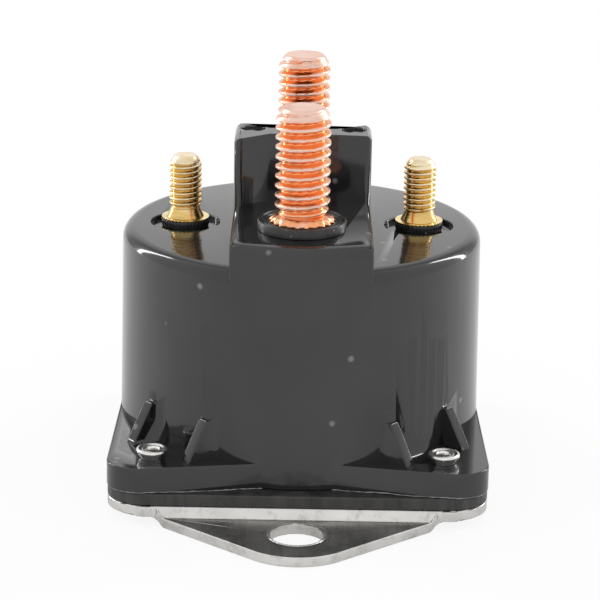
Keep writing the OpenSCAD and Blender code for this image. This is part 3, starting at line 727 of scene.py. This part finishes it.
copper = worn_metal("bright copper", (0.96, 0.42, 0.20), (0.90, 0.62, 0.52), 0.16, 0.36)
stud_y = 15.875 * MM
stud_foot = [(6.0, 32.2, 0), (6.0, 34.6, 0), (5.9, 34.7, 0), (3.97, 34.7, 0), (3.97, 42.0, 0),
             (4.55, 42.05, 0.16), (4.62, 42.2, 0.20), (4.42, 42.55, 0.12), (4.1, 42.85, 0.04),
             (3.7, 43.05, 0), (3.55, 43.15, 0)]
for word, side, top, phase in (("front", -1, 58.8 * MM, 0.1), ("rear", 1, 59.6 * MM, 0.55)):
    bm = bmesh.new()
    foot = [(r * MM, z * MM, teeth * MM) for r, z, teeth in stud_foot]
    threaded_rod(bm, (0, side * stud_y), foot, z_low=43.2 * MM, z_high=top, radius=stud_r, pitch=stud_pitch,
                 depth=stud_thread_depth, tip_r=2.85 * MM, chamfer=1.7 * MM, around=96, phase=phase)
    stud = keep(bm, "contact_stud_" + word, copper, "base", "main_stud_" + word, 50)

# Main washers: black moulded insulating washers under the contact studs. Each has a raised rim and fine
# raised rings, and metal dust from the stud lies on it.
washer_profile = [(3.99, 40.90), (6.30, 40.90), (6.40, 41.00), (6.40, 42.15), (6.30, 42.28), (6.08, 42.30),
                  (5.96, 42.20), (5.90, 42.02), (5.62, 42.00), (5.52, 42.12), (5.38, 42.14), (5.28, 42.02),
                  (5.00, 42.00), (4.90, 42.08), (4.76, 42.08), (4.66, 42.00), (3.99, 42.00)]
washer_black, tree, shader = finish_of("black washer", 0.3)
cloud = placed(tree, ripple, Scale=500.0, Detail=4.0)
dust = placed(tree, flecks, Scale=1300.0, Cover=0.12)
tone = ramp(tree, (cloud, "Tone"), (0.012, 0.012, 0.013), (0.035, 0.034, 0.034))
dusted = tree.nodes.new("ShaderNodeMix")
dusted.data_type = "RGBA"
dusted.inputs["B"].default_value = (0.3, 0.25, 0.2, 1)
wire(tree, (dust, "Mask"), (dusted, "Factor"))
wire(tree, (tone, 0), (dusted, "A"))
wire(tree, (dusted, "Result"), (shader, "Base Color"))
wire(tree, (level(tree, (cloud, "Tone"), 0.2, 0.42), 0), (shader, "Roughness"))
relief(tree, shader, (cloud, "Height"), 0.0001, 0.5)
for word, side in (("front", -1), ("rear", 1)):
    bm = bmesh.new()
    lathe(bm, (0, side * stud_y), [(r * MM, z * MM) for r, z in washer_profile], 96)
    washer = keep(bm, "stud_washer_" + word, washer_black, "base", "main_washer_" + word, 40)

# Coil studs: two small brass studs with a fine thread, each swaged into a thin toothed collar. The collar
# grips a knurled black washer that stands in the round recess of the shelf.
brass = worn_metal("machined brass", (0.80, 0.55, 0.20), (0.93, 0.80, 0.56), 0.15, 0.32)
bright_brass = worn_metal("bright brass", (0.90, 0.68, 0.28), (0.96, 0.84, 0.55), 0.12, 0.22)
pin_r = 2.41 * MM
pin_pitch = 0.794 * MM
pin_foot = [(4.0, 33.4), (4.0, 34.7), (2.41, 34.7), (2.41, 38.1), (2.75, 38.12), (2.60, 38.45), (2.25, 39.1),
            (2.12, 39.5)]
collar_profile = [(2.46, 37.80), (3.46, 37.80), (3.56, 37.88), (3.60, 38.00), (3.54, 38.08), (2.46, 38.10)]
collar_teeth = 36
tooth_depth = 0.14 * MM
knurl_profile = [(2.46, 36.50), (3.30, 36.50), (3.46, 36.62), (3.54, 36.90), (3.58, 37.50), (3.56, 37.76),
                 (3.48, 37.84), (2.46, 37.84)]
knurl_ribs = 40
knurl_depth = 0.09 * MM
for word, phase in (("left", 0.2), ("right", 0.6)):
    low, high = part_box("coil_collar_" + word)
    x = (low[0] + high[0]) / 2
    bm = bmesh.new()
    foot = [(r * MM, z * MM, 0) for r, z in pin_foot]
    threaded_rod(bm, (x, 0), foot, z_low=39.5 * MM, z_high=47.5 * MM, radius=pin_r, pitch=pin_pitch,
                 depth=0.40 * MM, tip_r=1.50 * MM, chamfer=1.25 * MM, around=64, phase=phase)
    stud = keep(bm, "coil_terminal_" + word, brass, "base", "coil_stud_" + word, 50)

    bm = bmesh.new()
    worn = bm.verts.layers.float.new("wear")
    lathe(bm, (x, 0), [(r * MM, z * MM) for r, z in collar_profile], 4 * collar_teeth,
          lambda turn, row: -tooth_depth * (0.5 + 0.5 * math.cos(collar_teeth * turn)) * (row in (1, 2, 3)))
    for v in bm.verts:
        v[worn] = 0.5
    collar = keep(bm, "coil_collar_teeth_" + word, bright_brass, "base", "coil_collar_" + word, 40)

    bm = bmesh.new()
    lathe(bm, (x, 0), [(r * MM, z * MM) for r, z in knurl_profile], 4 * knurl_ribs,
          lambda turn, row: -knurl_depth * (0.5 + 0.5 * math.cos(knurl_ribs * turn)) * (row in (2, 3, 4, 5)))
    washer = keep(bm, "coil_washer_knurled_" + word, washer_black, "base", "coil_washer_" + word, 50)

# Magnet parts, hidden in the housing: plain low-carbon steel can, flux plate, core and plunger, a brass guide
# sleeve and push rod, a nylon bobbin with its enamelled winding in amber tape, and spring steel springs.
steel, tree, shader = finish_of("plain steel", 0.35, 1.0)
turned = placed(tree, scratches, Scale=500.0, Stretch=(8, 8, 1), Cover=0.48)
tone = ramp(tree, (turned, "Mask"), (0.50, 0.50, 0.51), (0.34, 0.33, 0.32))
wire(tree, (tone, 0), (shader, "Base Color"))
relief(tree, shader, (turned, "Mask"), 0.00004, 0.6)
spring_wire, tree, shader = finish_of("spring wire", 0.25, 1.0)
cloud = placed(tree, ripple, Scale=1500.0, Detail=2.0)
wire(tree, (ramp(tree, (cloud, "Tone"), (0.55, 0.55, 0.57), (0.70, 0.70, 0.72)), 0), (shader, "Base Color"))
nylon, tree, shader = finish_of("natural nylon", 0.45)
cloud = placed(tree, ripple, Scale=250.0, Detail=3.0)
wire(tree, (ramp(tree, (cloud, "Tone"), (0.74, 0.69, 0.56), (0.82, 0.78, 0.68)), 0), (shader, "Base Color"))
# Painted shade and light: the winding's colour runs in bands from dark brown to orange, one pair of bands for
# each turn. The dark bands are painted shade between the turns and the orange bands are painted light on
# their rounded tops.
enamel, tree, shader = finish_of("enamelled winding with painted shade", 0.3)
place = tree.nodes.new("ShaderNodeTexCoord")
turns = tree.nodes.new("ShaderNodeTexWave")
turns.bands_direction = "Z"
turns.inputs["Scale"].default_value = 900
wire(tree, (place, "Object"), (turns, "Vector"))
wire(tree, (ramp(tree, (turns, "Fac"), (0.16, 0.04, 0.01), (0.62, 0.24, 0.08)), 0), (shader, "Base Color"))
relief(tree, shader, (turns, "Fac"), 0.0001, 0.8)
tape, tree, shader = finish_of("amber tape", 0.25)
fibre = placed(tree, ripple, Scale=800.0, Detail=4.0, Stretch=(1, 1, 4))
wire(tree, (ramp(tree, (fibre, "Tone"), (0.50, 0.33, 0.10), (0.66, 0.48, 0.19)), 0), (shader, "Base Color"))
plain_brass, tree, shader = finish_of("drawn brass", 0.22, 1.0)
turned = placed(tree, scratches, Scale=500.0, Stretch=(1, 1, 9), Cover=0.5)
wire(tree, (ramp(tree, (turned, "Mask"), (0.85, 0.65, 0.30), (0.6, 0.42, 0.18)), 0), (shader, "Base Color"))
strap, tree, shader = finish_of("copper strap", 0.25, 1.0)
cloud = placed(tree, ripple, Scale=500.0, Detail=3.0)
wire(tree, (ramp(tree, (cloud, "Tone"), (0.86, 0.40, 0.22), (0.93, 0.52, 0.33)), 0), (shader, "Base Color"))
finishes = {
    steel: ("flux_can", "flux_plate", "fixed_core", "plunger"),
    plain_brass: ("guide_sleeve", "push_rod"),
    nylon: ("bobbin", "contact_bush", "contact_washer"),
    enamel: ("coil_winding",),
    tape: ("coil_wrap",),
    strap: ("lead_strap_left", "lead_strap_right", "contact_bar"),
    rubber: ("bump_pad",),
    spring_wire: ("return_spring", "contact_spring", "spring_seat", "retaining_clip"),
}
for finish, nodes in finishes.items():
    for node in nodes:
        dress(node, finish)
